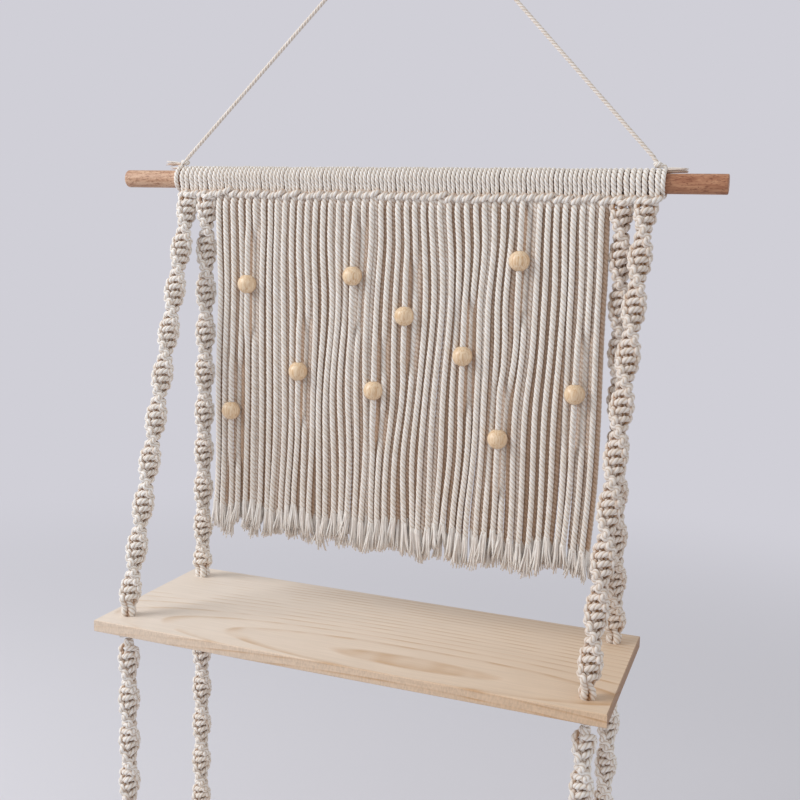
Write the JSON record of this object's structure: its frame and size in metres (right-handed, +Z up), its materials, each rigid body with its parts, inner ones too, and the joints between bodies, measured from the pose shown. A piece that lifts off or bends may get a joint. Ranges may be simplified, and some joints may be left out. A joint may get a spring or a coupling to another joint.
{
  "type": "hanging rope shelf",
  "caption": "Hanging shelf of knotted cotton cord: boards on twisted ropes under a wooden dowel, with a beaded fringe.",
  "frame": {"origin": "underside of the hanging cord's apex, where it lies on its hook", "axes": "+X along the dowel to the right, +Y to the wall, +Z up"},
  "size_m": [0.62, 0.195, 1.1286],
  "materials": {
    "beech": "fine sanded, unvarnished",
    "pine": "planed, unvarnished",
    "bead_wood": "turned, unvarnished",
    "cotton_cord": "soft, matt"
  },
  "bodies": {
    "hanger": {"dowel": "beech", "fringe_knot_row": "cotton_cord", "hanger_knot_left": "cotton_cord", "hanger_knot_right": "cotton_cord", "hanging_cord": "cotton_cord"},
    "upper_shelf": {"upper_board": "pine", "upper_rope_front_left": "cotton_cord", "upper_rope_rear_left": "cotton_cord", "upper_rope_rear_right": "cotton_cord", "upper_rope_front_right": "cotton_cord", "upper_knot_front_left": "cotton_cord", "upper_knot_rear_left": "cotton_cord", "upper_knot_rear_right": "cotton_cord", "upper_knot_front_right": "cotton_cord"},
    "lower_front_ropes": {"lower_rope_front_left": "cotton_cord", "lower_rope_front_right": "cotton_cord"},
    "lower_rear_ropes": {"lower_rope_rear_left": "cotton_cord", "lower_rope_rear_right": "cotton_cord"},
    "lower_shelf": {"lower_board": "pine", "lower_knot_front_left": "cotton_cord", "lower_knot_rear_left": "cotton_cord", "lower_knot_rear_right": "cotton_cord", "lower_knot_front_right": "cotton_cord", "tassel_front_left": "cotton_cord", "tassel_rear_left": "cotton_cord", "tassel_rear_right": "cotton_cord", "tassel_front_right": "cotton_cord"},
    "fringe_01_bundle": {"fringe_01": "cotton_cord"},
    "fringe_02_bundle": {"fringe_02": "cotton_cord"},
    "fringe_03_bundle": {"fringe_03": "cotton_cord"},
    "fringe_04_bundle": {"fringe_04": "cotton_cord"},
    "fringe_05_bundle": {"fringe_05": "cotton_cord"},
    "fringe_06_bundle": {"fringe_06": "cotton_cord"},
    "fringe_07_bundle": {"fringe_07": "cotton_cord"},
    "fringe_08_bundle": {"fringe_08": "cotton_cord"},
    "fringe_09_bundle": {"fringe_09": "cotton_cord"},
    "fringe_10_bundle": {"fringe_10": "cotton_cord"},
    "fringe_11_bundle": {"fringe_11": "cotton_cord"},
    "fringe_12_bundle": {"fringe_12": "cotton_cord"},
    "bead_01": {"bead_01": "bead_wood"},
    "bead_02": {"bead_02": "bead_wood"},
    "bead_03": {"bead_03": "bead_wood"},
    "bead_04": {"bead_04": "bead_wood"},
    "bead_05": {"bead_05": "bead_wood"},
    "bead_06": {"bead_06": "bead_wood"},
    "bead_07": {"bead_07": "bead_wood"},
    "bead_08": {"bead_08": "bead_wood"},
    "bead_09": {"bead_09": "bead_wood"},
    "bead_10": {"bead_10": "bead_wood"}
  },
  "joints": [
    {"name": "shelf_swing", "type": "hinge", "parent": "hanger", "child": "upper_shelf", "pos_m": [-0.004, -0.025, -0.27], "axis": [-1, 0, 0], "range_deg": [0, 20]},
    {"name": "lower_sway", "type": "hinge", "parent": "upper_shelf", "child": "lower_front_ropes", "pos_m": [-0.004, -0.139, -0.7396], "axis": [-1, 0, 0], "range_deg": [-20, 20]},
    {"name": "lower_sway_rear", "type": "hinge", "parent": "upper_shelf", "child": "lower_rear_ropes", "pos_m": [-0.004, 0.002, -0.7396], "axis": [-1, 0, 0], "range_deg": [-20, 20]},
    {"name": "lower_level", "type": "hinge", "parent": "lower_front_ropes", "child": "lower_shelf", "pos_m": [-0.004, -0.139, -1.0257], "axis": [-1, 0, 0], "range_deg": [-20, 20]},
    {"name": "fringe_01_swing", "type": "hinge", "parent": "hanger", "child": "fringe_01_bundle", "pos_m": [-0.1733, -0.03626, -0.28391], "axis": [-1, 0, 0], "range_deg": [-10, 45]},
    {"name": "fringe_02_swing", "type": "hinge", "parent": "hanger", "child": "fringe_02_bundle", "pos_m": [-0.1303, -0.03626, -0.28391], "axis": [-1, 0, 0], "range_deg": [-10, 45]},
    {"name": "fringe_03_swing", "type": "hinge", "parent": "hanger", "child": "fringe_03_bundle", "pos_m": [-0.1002, -0.03626, -0.28391], "axis": [-1, 0, 0], "range_deg": [-10, 45]},
    {"name": "fringe_04_swing", "type": "hinge", "parent": "hanger", "child": "fringe_04_bundle", "pos_m": [-0.0701, -0.03626, -0.28391], "axis": [-1, 0, 0], "range_deg": [-10, 45]},
    {"name": "fringe_05_swing", "type": "hinge", "parent": "hanger", "child": "fringe_05_bundle", "pos_m": [-0.04, -0.03626, -0.28391], "axis": [-1, 0, 0], "range_deg": [-10, 45]},
    {"name": "fringe_06_swing", "type": "hinge", "parent": "hanger", "child": "fringe_06_bundle", "pos_m": [-0.0142, -0.03626, -0.28391], "axis": [-1, 0, 0], "range_deg": [-10, 45]},
    {"name": "fringe_07_swing", "type": "hinge", "parent": "hanger", "child": "fringe_07_bundle", "pos_m": [0.0116, -0.03626, -0.28391], "axis": [-1, 0, 0], "range_deg": [-10, 45]},
    {"name": "fringe_08_swing", "type": "hinge", "parent": "hanger", "child": "fringe_08_bundle", "pos_m": [0.0417, -0.03626, -0.28391], "axis": [-1, 0, 0], "range_deg": [-10, 45]},
    {"name": "fringe_09_swing", "type": "hinge", "parent": "hanger", "child": "fringe_09_bundle", "pos_m": [0.0804, -0.03626, -0.28391], "axis": [-1, 0, 0], "range_deg": [-10, 45]},
    {"name": "fringe_10_swing", "type": "hinge", "parent": "hanger", "child": "fringe_10_bundle", "pos_m": [0.1191, -0.03626, -0.28391], "axis": [-1, 0, 0], "range_deg": [-10, 45]},
    {"name": "fringe_11_swing", "type": "hinge", "parent": "hanger", "child": "fringe_11_bundle", "pos_m": [0.1535, -0.03626, -0.28391], "axis": [-1, 0, 0], "range_deg": [-10, 45]},
    {"name": "fringe_12_swing", "type": "hinge", "parent": "hanger", "child": "fringe_12_bundle", "pos_m": [0.1879, -0.03626, -0.28391], "axis": [-1, 0, 0], "range_deg": [-10, 45]},
    {"name": "bead_01_slide", "type": "slide", "parent": "fringe_01_bundle", "child": "bead_01", "axis": [0, 0, 1], "range_m": [-0.03, 0.03]},
    {"name": "bead_02_slide", "type": "slide", "parent": "fringe_01_bundle", "child": "bead_02", "axis": [0, 0, 1], "range_m": [-0.03, 0.03]},
    {"name": "bead_03_slide", "type": "slide", "parent": "fringe_03_bundle", "child": "bead_03", "axis": [0, 0, 1], "range_m": [-0.03, 0.03]},
    {"name": "bead_04_slide", "type": "slide", "parent": "fringe_05_bundle", "child": "bead_04", "axis": [0, 0, 1], "range_m": [-0.03, 0.03]},
    {"name": "bead_05_slide", "type": "slide", "parent": "fringe_06_bundle", "child": "bead_05", "axis": [0, 0, 1], "range_m": [-0.03, 0.03]},
    {"name": "bead_06_slide", "type": "slide", "parent": "fringe_07_bundle", "child": "bead_06", "axis": [0, 0, 1], "range_m": [-0.03, 0.03]},
    {"name": "bead_07_slide", "type": "slide", "parent": "fringe_09_bundle", "child": "bead_07", "axis": [0, 0, 1], "range_m": [-0.03, 0.03]},
    {"name": "bead_08_slide", "type": "slide", "parent": "fringe_10_bundle", "child": "bead_08", "axis": [0, 0, 1], "range_m": [-0.03, 0.03]},
    {"name": "bead_09_slide", "type": "slide", "parent": "fringe_10_bundle", "child": "bead_09", "axis": [0, 0, 1], "range_m": [-0.03, 0.03]},
    {"name": "bead_10_slide", "type": "slide", "parent": "fringe_12_bundle", "child": "bead_10", "axis": [0, 0, 1], "range_m": [-0.03, 0.03]}
  ],
  "couplings": [
    {"joint": "lower_sway_rear", "follows": "lower_sway", "ratio": 1},
    {"joint": "lower_level", "follows": "lower_sway", "ratio": -1}
  ]
}
